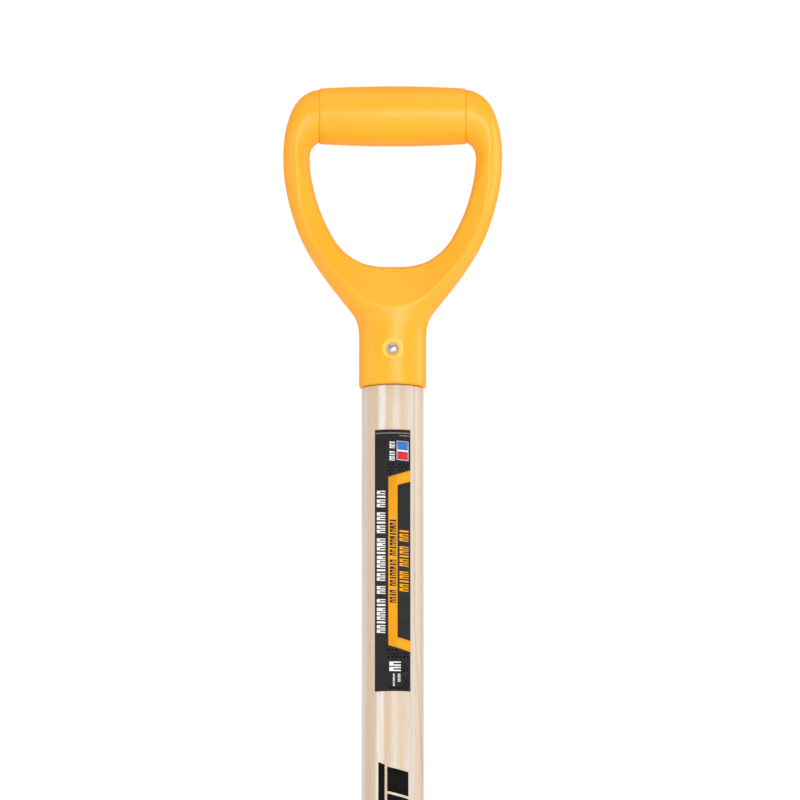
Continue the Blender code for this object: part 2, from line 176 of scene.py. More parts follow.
class Shader:
    """A Principled material, with short calls for the nodes that the finishes share."""

    def __init__(self, name, roughness=0.5, metallic=0.0, **values):
        self.made = bpy.data.materials.new(name)
        self.made.use_nodes = True
        self.nodes = self.made.node_tree.nodes
        self.links = self.made.node_tree.links
        self.main = self.nodes["Principled BSDF"]
        self.main.inputs["Roughness"].default_value = roughness
        self.main.inputs["Metallic"].default_value = metallic
        for key, value in values.items():
            self.main.inputs[key.replace("_", " ")].default_value = value
        self.place = self.nodes.new("ShaderNodeTexCoord").outputs["Object"]

    def put(self, socket, value):
        """Links a socket's output to the socket, or sets a plain value on it."""
        if hasattr(value, "links"):
            self.links.new(value, socket)
        else:
            socket.default_value = value

    def set(self, key, value):
        self.put(self.main.inputs[key], value)

    def node(self, kind, **inputs):
        """A new node of the kind, with its inputs linked or set."""
        node = self.nodes.new("ShaderNode" + kind)
        for key, value in inputs.items():
            self.put(node.inputs[key.replace("_", " ")], value)
        return node

    def stretched(self, scale, rotation=(0, 0, 0)):
        node = self.node("Mapping", Vector=self.place, Scale=scale, Rotation=rotation)
        return node.outputs["Vector"]

    def noise(self, scale, where=None, detail=3.0, roughness=0.5, distortion=0.0):
        node = self.node("TexNoise", Vector=where or self.place, Scale=scale, Detail=detail,
                         Roughness=roughness, Distortion=distortion)
        return node.outputs["Fac"]

    def ramp(self, value, *stops):
        node = self.node("ValToRGB", Fac=value)
        elements = node.color_ramp.elements
        while len(elements) < len(stops):
            elements.new(0.5)
        for element, (at, colour) in zip(elements, stops):
            element.position = at
            element.color = (*colour, 1.0)
        return node.outputs["Color"]

    def span(self, value, low, high, start=0.0, end=1.0):
        """Goes from start to end while the value goes from low to high, and no further."""
        node = self.node("MapRange", Value=value, From_Min=low, From_Max=high, To_Min=start,
                         To_Max=end)
        return node.outputs["Result"]

    def axes(self):
        node = self.node("SeparateXYZ", Vector=self.place)
        return node.outputs["X"], node.outputs["Y"], node.outputs["Z"]

    def turned_away(self):
        """From 0 where the surface faces the eye to 1 at its silhouette."""
        return self.node("LayerWeight").outputs["Facing"]

    def square(self, value):
        return self.math(value, value, "MULTIPLY")

    def math(self, a, b, kind="ADD"):
        node = self.node("Math")
        node.operation = kind
        self.put(node.inputs[0], a)
        self.put(node.inputs[1], b)
        return node.outputs[0]

    def mix(self, share, a, b):
        node = self.node("Mix")
        node.data_type = "RGBA"
        self.put(node.inputs["Factor"], share)
        self.put(node.inputs["A"], a if hasattr(a, "links") else (*a, 1.0))
        self.put(node.inputs["B"], b if hasattr(b, "links") else (*b, 1.0))
        return node.outputs["Result"]

    def bump(self, height, distance, strength):
        node = self.node("Bump", Strength=strength, Distance=distance, Height=height)
        self.set("Normal", node.outputs["Normal"])


POLISH_AND_SHEEN_INNER, POLISH_AND_SHEEN_OUTER = 0.0058, 0.0068      # radii between which the dish's polish and its painted highlight end


def yellow_plastic():
    """Moulded plastic, satin. In the dish that the riveting tool pressed it is polished, and
    painted paler there as a painted highlight.
    """
    s = Shader("yellow_plastic", IOR=1.44, Coat_Roughness=0.27)
    cloud = s.noise(22.0, detail=2.0)
    base = s.ramp(cloud, (0.30, (0.95, 0.386, 0.003)), (0.70, (0.97, 0.406, 0.005)))
    x, _, z = s.axes()
    # Mask of the dish round the rivet: it lowers the roughness, and it carries a painted highlight
    away = s.math(s.square(x), s.square(s.math(z, -GRIP_RIVET_Z)))
    dish = s.span(s.math(away, 0.5, "POWER"), POLISH_AND_SHEEN_INNER, POLISH_AND_SHEEN_OUTER, 1.0, 0.0)
    turned_away = s.turned_away()
    # Painted shade: a deeper orange is painted in towards the silhouettes
    silhouette_shade = s.mix(s.span(turned_away, 0.35, 0.95, 0.0, 0.5), base, (0.95, 0.372, 0.003))
    # Painted highlight: a paler yellow is painted into the dish round the rivet
    s.set("Base Color", s.mix(s.math(dish, 0.85, "MULTIPLY"), silhouette_shade, (1.0, 0.62, 0.11)))
    s.set("Specular IOR Level", s.span(turned_away, 0.20, 0.75, 0.50, 0.06))
    s.set("Coat Weight", s.span(turned_away, 0.25, 0.65, 0.28, 0.0))
    rough = s.span(s.noise(60.0), 0.3, 0.7, 0.39, 0.45)
    s.set("Roughness", s.math(rough, s.math(dish, 0.05, "MULTIPLY"), "SUBTRACT"))
    s.bump(s.noise(1500.0, detail=2.0), 0.00003, 0.35)
    return s.made


GRAIN_SLOPE = 0.006              # how far the grain runs across the shaft for its length
GRAIN_TOP_Z = -0.157             # where the bands stand as they are listed
TAN_WOOD = (0.610, 0.472, 0.336)
PALE_WOOD = (0.750, 0.705, 0.655)
GREY_WOOD = (0.63, 0.56, 0.49)
VEIN_X = 0.0134                  # a dark line that slants towards the right-hand edge
VEIN_SLOPE = 0.055
VEIN_BEND_Z = -0.30


def lacquered_wood():
    """Pale ash under satin lacquer, with broad bands of grain that run slightly askew."""
    s = Shader("lacquered_wood", IOR=1.40, Coat_Weight=0.15, Coat_Roughness=0.25)
    x, y, z = s.axes()
    along = s.stretched((1.0, 0.6, 0.03), rotation=(0, atan(GRAIN_SLOPE), 0))
    drift = s.noise(30.0, s.stretched((0.6, 0.6, 0.12)), detail=2.0)
    wander = s.math(s.math(drift, 0.5, "SUBTRACT"), 0.0045, "MULTIPLY")
    askew = s.math(s.math(s.math(z, -GRAIN_TOP_Z), GRAIN_SLOPE, "MULTIPLY"),
                   s.math(y, 0.12, "MULTIPLY"))
    across = s.math(s.math(x, askew, "SUBTRACT"), wander)
    place = s.span(across, -0.020, 0.020)
    bands = s.ramp(place, (0.045, TAN_WOOD), (0.075, PALE_WOOD), (0.14, GREY_WOOD),
                   (0.18, TAN_WOOD), (0.31, TAN_WOOD), (0.355, PALE_WOOD), (0.42, PALE_WOOD),
                   (0.46, TAN_WOOD), (0.54, TAN_WOOD), (0.575, GREY_WOOD), (0.63, GREY_WOOD),
                   (0.665, TAN_WOOD), (0.72, TAN_WOOD), (0.76, GREY_WOOD), (0.89, GREY_WOOD),
                   (0.925, TAN_WOOD))
    streaks = s.noise(330.0, along, detail=6.0, roughness=0.62)
    broad = s.noise(120.0, along, detail=3.0, distortion=0.6)
    off_front = s.span(y, -0.013, 0.0, 0.0, 1.0)
    pale_side = s.mix(s.math(s.span(broad, 0.48, 0.60, 0.0, 0.8), off_front, "MULTIPLY"), bands,
                      PALE_WOOD)
    sided = s.mix(s.math(s.span(broad, 0.34, 0.46, 0.55, 0.0), off_front, "MULTIPLY"), pale_side,
                  (0.47, 0.34, 0.22))
    grained = s.mix(s.span(streaks, 0.35, 0.62, 0.34, 0.0), sided, (0.56, 0.41, 0.28))
    fine = s.noise(1100.0, along, detail=3.0)
    lined = s.mix(s.span(fine, 0.56, 0.70, 0.0, 0.30), grained, (0.52, 0.38, 0.26))
    below = s.math(s.math(VEIN_BEND_Z, z, "SUBTRACT"), 0.0, "MAXIMUM")
    vein = s.math(s.math(x, s.math(below, VEIN_SLOPE, "MULTIPLY"), "SUBTRACT"), -VEIN_X)
    vein = s.math(s.math(vein, s.math(wander, 0.15, "MULTIPLY")), 0.0, "ABSOLUTE")
    lined = s.mix(s.span(vein, 0.0002, 0.0009, 0.55, 0.0), lined, (0.46, 0.35, 0.22))
    pores = s.noise(900.0, s.stretched((1.0, 1.0, 0.10)), detail=1.0)
    flecked = s.mix(s.span(pores, 0.70, 0.76, 0.0, 0.55), lined, (0.33, 0.22, 0.14))
    s.set("Base Color", flecked)
    s.set("Roughness", s.span(streaks, 0.3, 0.7, 0.40, 0.52))
    s.bump(fine, 0.00003, 0.25)
    return s.made


WORN_GREY = 0.35


def printed(name, colour, roughness, wear):
    """Flat ink or film. `wear` is how far it turns to the worn grey in patches."""
    s = Shader(name, roughness=roughness, IOR=1.25)
    cloud = s.noise(160.0, detail=4.0)
    worn = tuple(c + (WORN_GREY - c) * wear for c in colour)
    s.set("Base Color", s.ramp(cloud, (0.35, colour), (0.75, worn)))
    s.set("Roughness", s.span(cloud, 0.3, 0.7, roughness - 0.05, roughness + 0.06))
    return s.made


def drawn_aluminium(name, shade, roughness):
    """Aluminium with fine drawing lines, cloudy patches and scuffs."""
    s = Shader(name, metallic=1.0)
    lines = s.noise(420.0, s.stretched((1.0, 0.05, 0.03)), detail=4.0, roughness=0.65)
    cloud = s.noise(9.0, detail=4.0)
    scuffs = s.noise(70.0, s.stretched((0.3, 1.0, 1.0), rotation=(0, radians(35), 0)), detail=6.0,
                     distortion=1.4)
    light = (shade, shade * 1.005, shade * 1.012)
    dark = (shade * 0.86, shade * 0.868, shade * 0.88)
    dull = (shade * 0.82, shade * 0.83, shade * 0.85)
    base = s.ramp(lines, (0.25, dark), (0.65, light))
    s.set("Base Color", s.mix(s.span(cloud, 0.35, 0.65, 0.0, 0.6), base, dull))
    uneven = s.span(lines, 0.3, 0.7, roughness - 0.08, roughness + 0.06)
    s.set("Roughness", s.math(uneven, s.span(scuffs, 0.55, 0.75, 0.0, 0.14)))
    s.bump(lines, 0.00003, 0.30)
    return s.made


def plated_steel():
    """The bright plating of the rivets and washers."""
    s = Shader("plated_steel", metallic=1.0)
    cloud = s.noise(700.0, detail=3.0)
    s.set("Base Color", s.ramp(cloud, (0.3, (0.38, 0.39, 0.42)), (0.7, (0.54, 0.55, 0.57))))
    s.set("Roughness", s.span(cloud, 0.3, 0.7, 0.15, 0.26))
    s.bump(cloud, 0.00003, 0.25)
    return s.made


YELLOW = yellow_plastic()
WOOD = lacquered_wood()
ALUMINIUM = drawn_aluminium("drawn_aluminium", 0.54, 0.52)
SOCKET_ALLOY = drawn_aluminium("socket_alloy", 0.50, 0.36)
STEEL = plated_steel()
FILM = printed("label_film", (0.020, 0.019, 0.020), 0.60, 0.02)
ORANGE_INK = printed("orange_ink", (0.84, 0.345, 0.006), 0.60, 0.02)
WHITE_INK = printed("white_ink", (0.86, 0.86, 0.86), 0.42, 0.10)
GREY_INK = printed("grey_ink", (0.30, 0.30, 0.30), 0.42, 0.10)
DARK_INK = printed("dark_ink", (0.002, 0.002, 0.002), 0.75, 0.0)
BLUE_INK = printed("blue_ink", (0.03, 0.16, 0.52), 0.42, 0.05)
RED_INK = printed("red_ink", (0.62, 0.02, 0.03), 0.42, 0.05)

# ---------------- D-grip frame

SEAM_X = SLEEVE_HALF + GAP
AXIS_MM = GRIP_AXIS_Z / MM
SOCKET_MM = SOCKET_RADIUS / MM
CAP_MM = 16.5
CREST_FOOT = -102.7
CORE_RADIUS = 0.0120
SOCKET_BORE = 0.0160
TENON_TOP = shaft_high.z + GAP
RECESS_FLOOR = 0.0187            # how far in front of the axis the dish's flat bottom lies
DISH_FLAT_RADIUS = 0.0034
DISH_RUN = 0.0030
DISH_RISE = 0.0025
RIVET_HOLE = 0.0028
FIELD_SCALE = 0.009              # turns the section's relative distance into metres
GRIP_CELL = 0.00065
NET_HALF_WIDTH = 0.0705
NET_HALF_DEPTH = 0.0225
NET_TOP = 0.0375

# Half outlines in millimetres, from the mid plane at the top to the mid plane at the bottom
OUTSIDE = smooth_line([
    (0, AXIS_MM + CAP_MM), (30, AXIS_MM + CAP_MM), (45.2, AXIS_MM + CAP_MM), (53.0, 33.0),
    (58.7, 28.4), (62.3, 22.9), (64.9, 16.2), (66.8, 8.5), (67.9, -1.4), (68.0, -11.0),
    (67.3, -21.2), (65.1, -33.6), (61.7, -46.0), (57.1, -58.4), (50.7, -70.7), (42.5, -83.1),
    (33.1, -95.3), (27.9, -101.9), (23.7, -107.6), (21.4, -114.0), (SOCKET_MM, -121.0),
    (SOCKET_MM, -135.0), (SOCKET_MM, -160.0)], 5)
OPENING = smooth_line([
    (0, AXIS_MM - CAP_MM), (30, AXIS_MM - CAP_MM), (43.9, AXIS_MM - CAP_MM), (47.1, 1.4),
    (49.9, -1.2), (51.4, -5.0), (51.7, -10.0), (50.4, -21.2), (47.5, -33.6), (43.1, -46.0),
    (36.9, -58.4), (32.0, -65.0), (26.3, -70.1), (19.0, -74.2), (9.3, -76.4), (0, -76.7)], 5)
CREST = smooth_line([
    (0, AXIS_MM), (30, AXIS_MM), (46.5, AXIS_MM), (52.5, 15.6), (56.4, 10.4), (58.8, 3.5),
    (59.6, -4.8), (59.8, -14.3), (59.4, -23.7), (58.0, -36.2), (55.1, -48.7), (50.2, -61.2),
    (41.8, -74.6), (31.8, -86.7), (25.1, -93.2), (16.2, -99.4), (8.0, -102.1),
    (0, CREST_FOOT)], 5)


def line_distance(x, z, line):
    """Distance from each place to the nearest point of an open line."""
    best = np.full(x.shape, 1e9)
    for (ax, az), (bx, bz) in zip(line, line[1:]):
        dx, dz = bx - ax, bz - az
        t = np.clip(((x - ax) * dx + (z - az) * dz) / (dx * dx + dz * dz), 0, 1)
        best = np.minimum(best, (x - ax - t * dx) ** 2 + (z - az - t * dz) ** 2)
    return np.sqrt(best)


def signed_distance(x, z, line):
    """Distance to the line, positive between it and the mid plane."""
    ring = np.vstack([line, [[-1, line[-1, 1]], [-1, line[0, 1]]], line[:1]])
    inside = np.zeros(x.shape, dtype=bool)
    for (ax, az), (bx, bz) in zip(ring, ring[1:]):
        if az != bz:
            crosses = (z < az) != (z < bz)
            inside ^= crosses & (x < (bx - ax) * (z - az) / (bz - az) + ax)
    distance = line_distance(x, z, line)
    return np.where(inside, distance, -distance)


def grip_plan(x, z):
    """What the grip's section depends on at a place of its outline.

    From the silhouette the surface rises on an ellipse to the crest, which it reaches at a slant
    set by `lean`, and a facet slopes back from there to the edge of the hand opening.
    """
    outside = signed_distance(x, z, OUTSIDE)
    opening = -signed_distance(x, z, OPENING)
    crest = signed_distance(x, z, CREST)
    stem = np.hypot(x, np.maximum(z - CREST_FOOT * MM, 0))
    from_crest = np.where(crest > 0, -crest, soft_min(np.abs(crest), stem, 0.010))
    corner = soft_step(z, -0.012, 0.016)
    above_web = soft_step(z, -0.035, 0.016)
    web = soft_step(-z, 0.045, -CREST_FOOT * MM)
    lean = 0.60 * (1 - corner) * (1 - soft_step(-z, 0.078, 0.106))
    by_sleeve = soft_step(-x, -0.052, -0.046)
    shoulder = (0.0015 + 0.0005 * by_sleeve) * soft_step(z, -0.012, GRIP_AXIS_Z)
    ridge = 0.0150 + shoulder + 0.0056 * web
    edge = 0.0085 + 0.0080 * above_web + 0.0004 * web
    rounding = 0.0028 + 0.0137 * above_web
    crest_reach = 0.0014 - 0.0009 * soft_step(-z, 0.060, -CREST_FOOT * MM)
    rise = from_crest / np.maximum(np.abs(from_crest) + np.maximum(outside, 0), 1e-6)
    rise = np.where(outside < 0, 1 - outside / 0.008, rise)
    rise = np.maximum(lean + (1 - lean) * rise, 0)
    share = np.clip(crest / np.maximum(crest + opening, 0.004), -0.6, 1.2)
    facet = ridge + (edge - ridge) * share
    turn = np.maximum(1 - opening / rounding, 0)
    return ridge / np.sqrt(1 - lean * lean), facet, rise, turn, crest_reach


def grip_field(x, y, z, plan=None):
    """Negative inside the D-grip's moulding. It is mirrored in x and in y."""
    x = np.abs(x)
    y = np.abs(y)
    ridge, facet, rise, turn, crest_reach = plan or grip_plan(x, z)
    outer = (np.sqrt(rise * rise + (y / ridge) ** 2) - 1) * FIELD_SCALE
    inner = (np.sqrt(turn * turn + (y / facet) ** 2) - 1) * FIELD_SCALE
    field = soft_max(outer, inner, crest_reach)
    field = soft_max(field, np.where(z > -0.001, SEAM_X - x, -1.0), 0.0003)
    core = np.maximum(np.hypot(y, z - GRIP_AXIS_Z) - CORE_RADIUS, x - SEAM_X - 0.004)
    field = np.minimum(field, core)
    field = soft_max(field, SOCKET_RIM_Z - z, 0.0018)
    field = np.maximum(field, -np.maximum(np.hypot(x, y) - SOCKET_BORE, z - TENON_TOP))
    from_rivet = np.hypot(x, z - GRIP_RIVET_Z)
    up_dish = np.maximum(from_rivet - DISH_FLAT_RADIUS, 0) / DISH_RUN
    dish = y - RECESS_FLOOR - DISH_RISE * up_dish ** 1.5
    field = soft_max(field, dish, 0.0005)
    return np.maximum(field, RIVET_HOLE - from_rivet)


def quarter_net(cell):
    """Surface net of the quarter with x and y positive. Cells are centred on both mid planes."""
    x = np.arange(-0.5, NET_HALF_WIDTH / cell) * cell
    y = np.arange(-0.5, NET_HALF_DEPTH / cell) * cell
    z = np.arange(SOCKET_RIM_Z - 0.002, NET_TOP, cell)
    across, up = np.meshgrid(x, z, indexing="ij")
    plan = [part.reshape(across.shape)[:, None, :]
            for part in grip_plan(np.abs(across).ravel(), up.ravel())]
    field = grip_field(x[:, None, None], y[None, :, None], z[None, None, :], plan)
    inside = field < 0
    count = corner_count(inside)
    active = (count > 0) & (count < 8)
    cells = np.argwhere(active)
    number = np.full(active.shape, -1)
    number[active] = np.arange(len(cells))
    total = np.zeros((len(cells), 3))
    hits = np.zeros(len(cells))
    for axis in range(3):
        for p in (0, 1):
            for q in (0, 1):
                start = np.insert([p, q], axis, 0)
                end = np.insert([p, q], axis, 1)
                a = field[tuple((cells + start).T)]
                b = field[tuple((cells + end).T)]
                crosses = (a < 0) != (b < 0)
                point = np.tile(start.astype(float), (len(cells), 1))
                point[:, axis] = np.where(crosses, a / np.where(a == b, 1, a - b), 0)
                total += point * crosses[:, None]
                hits += crosses
    verts = np.array([x[0], y[0], z[0]]) + (cells + total / hits[:, None]) * cell
    quads = []
    for axis in range(3):
        lower = [slice(1, -1)] * 3
        lower[axis] = slice(0, -1)
        upper = [slice(1, -1)] * 3
        upper[axis] = slice(1, None)
        first = inside[tuple(lower)]
        differs = first != inside[tuple(upper)]
        base = np.argwhere(differs) + 1
        base[:, axis] -= 1
        side, other = [(1, 2), (2, 0), (0, 1)][axis]
        ring = []
        for p, q in ((1, 1), (0, 1), (0, 0), (1, 0)):
            place = base.copy()
            place[:, side] -= p
            place[:, other] -= q
            ring.append(number[tuple(place.T)])
        quad = np.stack(ring, axis=1)
        flipped = ~first[differs]
        quad[flipped] = quad[flipped][:, ::-1]
        quads.append(quad)
    return verts, np.vstack(quads)


def corner_count(inside):
    """How many of each cell's eight corners are inside."""
    nx, ny, nz = inside.shape
    return sum(inside[i:nx - 1 + i, j:ny - 1 + j, k:nz - 1 + k].astype(np.int8)
               for i in (0, 1) for j in (0, 1) for k in (0, 1))


def relaxed(verts, quads, rounds, share):
    """The vertices moved by `share` of the way to the middle of their neighbours, each round."""
    pairs = np.vstack([quads[:, [0, 1]], quads[:, [1, 2]], quads[:, [2, 3]], quads[:, [3, 0]]])
    pairs = np.unique(np.sort(pairs, axis=1), axis=0)
    for _ in range(rounds):
        total = np.zeros_like(verts)
        number = np.zeros(len(verts))
        for a, b in ((0, 1), (1, 0)):
            np.add.at(total, pairs[:, a], verts[pairs[:, b]])
            np.add.at(number, pairs[:, a], 1)
        verts = verts + share * (total / number[:, None] - verts)
    return verts


def settled(verts):
    """The vertices moved onto the surface where the field is zero, in two short steps."""
    reach = 0.0004
    width = 0.0002
    for _ in range(2):
        height = grip_field(*verts.T)
        slope = np.stack([(grip_field(*(verts + d).T) - grip_field(*(verts - d).T)) / (2 * width)
                          for d in np.eye(3) * width], axis=1)
        move = -(height / np.maximum((slope ** 2).sum(1), 0.05))[:, None] * slope
        length = np.maximum(np.sqrt((move ** 2).sum(1)), 1e-12)
        verts = verts + move * np.minimum(1, reach / length)[:, None]
    return verts


def make_grip_frame():
    verts, quads = quarter_net(GRIP_CELL)
    on_x = np.abs(verts[:, 0]) < 1e-6
    on_y = np.abs(verts[:, 1]) < 1e-6
    verts = relaxed(verts, quads, 2, 0.5)
    verts[on_x, 0] = 0
    verts[on_y, 1] = 0
    verts = settled(verts)
    verts[on_x, 0] = 0
    verts[on_y, 1] = 0
    mesh = mesh_from("grip_moulding", verts, quads)
    piece = new_piece("grip_moulding", mesh, YELLOW, "yellow_plastic", "d_grip_frame")
    mirror = piece.modifiers.new("other_quarters", "MIRROR")
    mirror.use_axis = (True, True, False)
    mirror.use_clip = True
    mirror.merge_threshold = 0.00001


make_grip_frame()

# ---------------- grip sleeve

SLEEVE_LIP = 0.00090
SLEEVE_OVERLAP = 0.00030         # how far its ends reach past the seam, so that no gap shows
GATE_OFFSET = 0.0015             # the moulding gate's small mark, along the sleeve and round it
GATE_TILT = radians(-17)
GATE_RADIUS = 0.0009
GATE_DEPTH = 0.00035
GATE_BURR = 0.00012
along_grip = Matrix.Translation((0, 0, GRIP_AXIS_Z)) @ Matrix.Rotation(radians(90), 4, "Y")


def make_sleeve():
    end_radius = SLEEVE_END_RADIUS
    belly = SLEEVE_RADIUS - SLEEVE_END_RADIUS
    half = SLEEVE_HALF + GAP + SLEEVE_OVERLAP
    lip = SLEEVE_LIP
    bore = CORE_RADIUS + GAP
    stations = 150
    profile = [(bore, half)]
    profile += [(end_radius - lip + lip * sin(a), half - lip + lip * cos(a))
                for a in (i * pi / 12 for i in range(6))]
    for i in range(stations + 1):
        t = 1 - 2 * i / stations
        profile.append((end_radius + belly * (1 - t * t), (half - lip) * t))
    profile += [(end_radius - lip + lip * cos(a), -half + lip - lip * sin(a))
                for a in (i * pi / 12 for i in range(1, 7))]
    profile += [(bore, -half), (bore, half)]

    def gate(verts):
        # Local X of the lathe is the world's down, local Y the world's back
        angle = np.arctan2(verts[:, 0], -verts[:, 1])
        radius = np.hypot(verts[:, 0], verts[:, 1])
        away = np.hypot((angle + GATE_TILT) * SLEEVE_RADIUS, verts[:, 2] - GATE_OFFSET)
        dent = -GATE_DEPTH * np.exp(-(away / GATE_RADIUS) ** 4)
        dent += GATE_BURR * np.exp(-((away - 1.7 * GATE_RADIUS) / (0.5 * GATE_RADIUS)) ** 2)
        dent = np.where(radius > end_radius - lip / 2, dent, 0)
        verts[:, :2] *= (1 + dent / radius)[:, None]
        return verts

    verts, faces = lathe(profile, 220, along_grip, gate)
    mesh = mesh_from("sleeve_moulding", verts, faces, 40)
    new_piece("sleeve_moulding", mesh, YELLOW, "yellow_plastic", "grip_sleeve")


make_sleeve()

# ---------------- rivets

RIVET_STEPS = 48
CROSS_RIVET_SHANK = 0.0025
CROSS_RIVET_DOME = 0.0021
WASHER_BORE = 0.0028
WASHER_EDGE = 0.0002
TAIL_SHARE = 0.7                 # height of the peened tail, as a share of the dome's
facing_front = Matrix.Rotation(radians(90), 4, "X")


def rivet(name, node, low, high, shank, head, height, matrix):
    """A peened rivet on its own Z from low to high, with a dome of the radius `head` on top."""
    flat = high - height
    dome = [(head * sin(a), flat + 0.25 * height + 0.75 * height * cos(a))
            for a in (i * pi / 24 for i in range(13))]
    foot = [(head, flat + 0.1 * height), (head * 0.97, flat), (shank, flat)]
    tail_flat = low + height * TAIL_SHARE
    tail = [(shank, tail_flat), (head, tail_flat)]
    tail += [(head * cos(a), tail_flat - height * TAIL_SHARE * sin(a))
             for a in (i * pi / 16 for i in range(1, 9))]
    tail[-1] = (0.0, low)
    verts, faces = lathe(dome + foot + tail, RIVET_STEPS, matrix)
    new_piece(name, mesh_from(name, verts, faces, 40), STEEL, "rivet_steel", node)


def make_cross_rivets():
    for name in ("d_grip_rivet", "socket_rivet_upper", "socket_rivet_lower"):
        low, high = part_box(name)
        centre_z = (low.z + high.z) / 2
        head = (high.z - low.z) / 2
        across = Matrix.Translation((0, 0, centre_z)) @ facing_front
        rivet(name + "_fine", name, -high.y, -low.y, CROSS_RIVET_SHANK, head, CROSS_RIVET_DOME,
              across)
        low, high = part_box(name + "_burr")
        radius = (high.z - low.z) / 2
        inset = radius - WASHER_EDGE
        profile = [(WASHER_BORE, -low.y), (inset, -low.y), (radius, -low.y - WASHER_EDGE),
                   (radius, -high.y + WASHER_EDGE), (inset, -high.y), (WASHER_BORE, -high.y),
                   (WASHER_BORE, -low.y)]
        verts, faces = lathe(profile, RIVET_STEPS, across)
        new_piece(name + "_washer", mesh_from(name + "_washer", verts, faces, 30), STEEL,
                  "rivet_steel", name + "_burr")


make_cross_rivets()

# ---------------- shaft

SHAFT_TAPER = 0.00304            # how much thinner the radius is at the lower end
SHOULDER_EDGE = 0.0006
SHOULDER_EDGE_MIDDLE = 0.0002
END_EDGE = 0.001
STRAIGHT_STEPS = 40


def make_shaft():
    """A tenon in the D-grip, a straight length, and a taper in the socket."""
    shoulder = SOCKET_RIM_Z - GAP
    tenon = SOCKET_BORE - GAP
    taper_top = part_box("blade_socket")[1].z
    top = shaft_high.z
    end = shaft_low.z
    end_radius = SHAFT_RADIUS - SHAFT_TAPER
    straight_top = shoulder - SHOULDER_EDGE
    profile = [(0.0, top), (tenon - END_EDGE, top), (tenon, top - END_EDGE),
               (tenon, shoulder), (SHAFT_RADIUS - SHOULDER_EDGE, shoulder),
               (SHAFT_RADIUS - SHOULDER_EDGE_MIDDLE, shoulder - SHOULDER_EDGE_MIDDLE),
               (SHAFT_RADIUS, straight_top)]
    length = straight_top - taper_top
    profile += [(SHAFT_RADIUS, straight_top - length * i / STRAIGHT_STEPS)
                for i in range(1, STRAIGHT_STEPS + 1)]
    profile += [(end_radius, end + END_EDGE), (end_radius - END_EDGE, end), (0.0, end)]
    verts, faces = lathe(profile, 128)
    new_piece("shaft_wood", mesh_from("shaft_wood", verts, faces, 35), WOOD, "wood", "shaft")


make_shaft()

# ---------------- print on the shaft

FILM_RADIUS = SHAFT_RADIUS + 0.00010
FILM_THICKNESS = 0.00012
INK_THICKNESS = 0.00003
INK_LIFT = 0.00001
BEND_SPACING = 0.0008
LABEL_LEFT = -10.8
LABEL_RIGHT = 10.85
LABEL_MM = LABEL_LENGTH / MM - 0.9
BAND_LEFT = -2.6
BAND_INNER = 2.95
BAND_TOP = 25.1
BAND_BOTTOM = 134.0
SLANT = 0.33
SHAFT_PRINT_Z = -0.3870


def wrapped(name, outlines, radius, thickness, finish, slot, *replaced):
    """Flat outlines of (across, down) points in millimetres, laid on the front of the shaft.

    `across` is measured as seen from the front, and `down` from the label's top edge.
    """
    shape = bmesh.new()
    for outline in outlines:
        bent = [(SHAFT_RADIUS * asin(a * MM / SHAFT_RADIUS), 0.0, LABEL_TOP - d * MM)
                for a, d in outline]
        shape.faces.new([shape.verts.new(p) for p in bent])
    bmesh.ops.recalc_face_normals(shape, faces=shape.faces)
    limit = max(abs(v.co.x) for v in shape.verts)
    for i in range(int(-limit / BEND_SPACING), int(limit / BEND_SPACING) + 1):
        everything = shape.verts[:] + shape.edges[:] + shape.faces[:]
        bmesh.ops.bisect_plane(shape, geom=everything, dist=1e-7,
                               plane_co=(i * BEND_SPACING, 0, 0), plane_no=(1, 0, 0))
    bmesh.ops.triangulate(shape, faces=[f for f in shape.faces if len(f.verts) > 4])
    for vert in shape.verts:
        angle = vert.co.x / SHAFT_RADIUS
        vert.co = (radius * sin(angle), -radius * cos(angle), vert.co.z)
    for face in shape.faces:
        face.normal_update()
        if face.normal.y > 0:
            face.normal_flip()
    mesh = bpy.data.meshes.new(name)
    shape.to_mesh(mesh)
    shape.free()
    mesh.shade_smooth()
    piece = new_piece(name, mesh, finish, slot, *replaced)
    shell = piece.modifiers.new("thickness", "SOLIDIFY")
    shell.thickness = thickness
    shell.offset = 1.0


def block(left, right, top, bottom, lean=0.0):
    """A four-sided outline whose ends lean down to the right by `lean` millimetres."""
    return [(left, top), (left, bottom), (right, bottom + lean), (right, top + lean)]


def greeked(left, right, start, end, words, lean=0.0):
    """Blocks that stand for a line of print reading down the shaft, without any letters.

    `words` gives how many blocks each word has. Most blocks are split part of the way.
    """
    advance = (end - start) / (sum(words) + len(words) - 1)
    split = 0.14 * advance
    outlines = []
    at = start
    for count in words:
        for i in range(count):
            top, bottom = at + 0.10 * advance, at + 0.90 * advance
            middle = (top + bottom) / 2
            reach = left + (right - left) * (0.36 if (i * 5 + count) % 3 else 0.66)
            kind = (i * 3 + count) % 4
            if kind == 3:
                outlines.append(block(left, right, middle - 0.26 * advance, middle + 0.2 * advance,
                                      lean))
            else:
                slope = lean / (right - left)
                low = (reach - left) * slope
                outlines.append(block(left, reach, top, bottom, low))
                upper = [block(reach, right, top, middle - split, lean - low),
                         block(reach, right, middle + split, bottom, lean - low)]
                outlines += [[(a, d + low) for a, d in piece] for piece in upper]
            at += advance
        at += advance
    return outlines


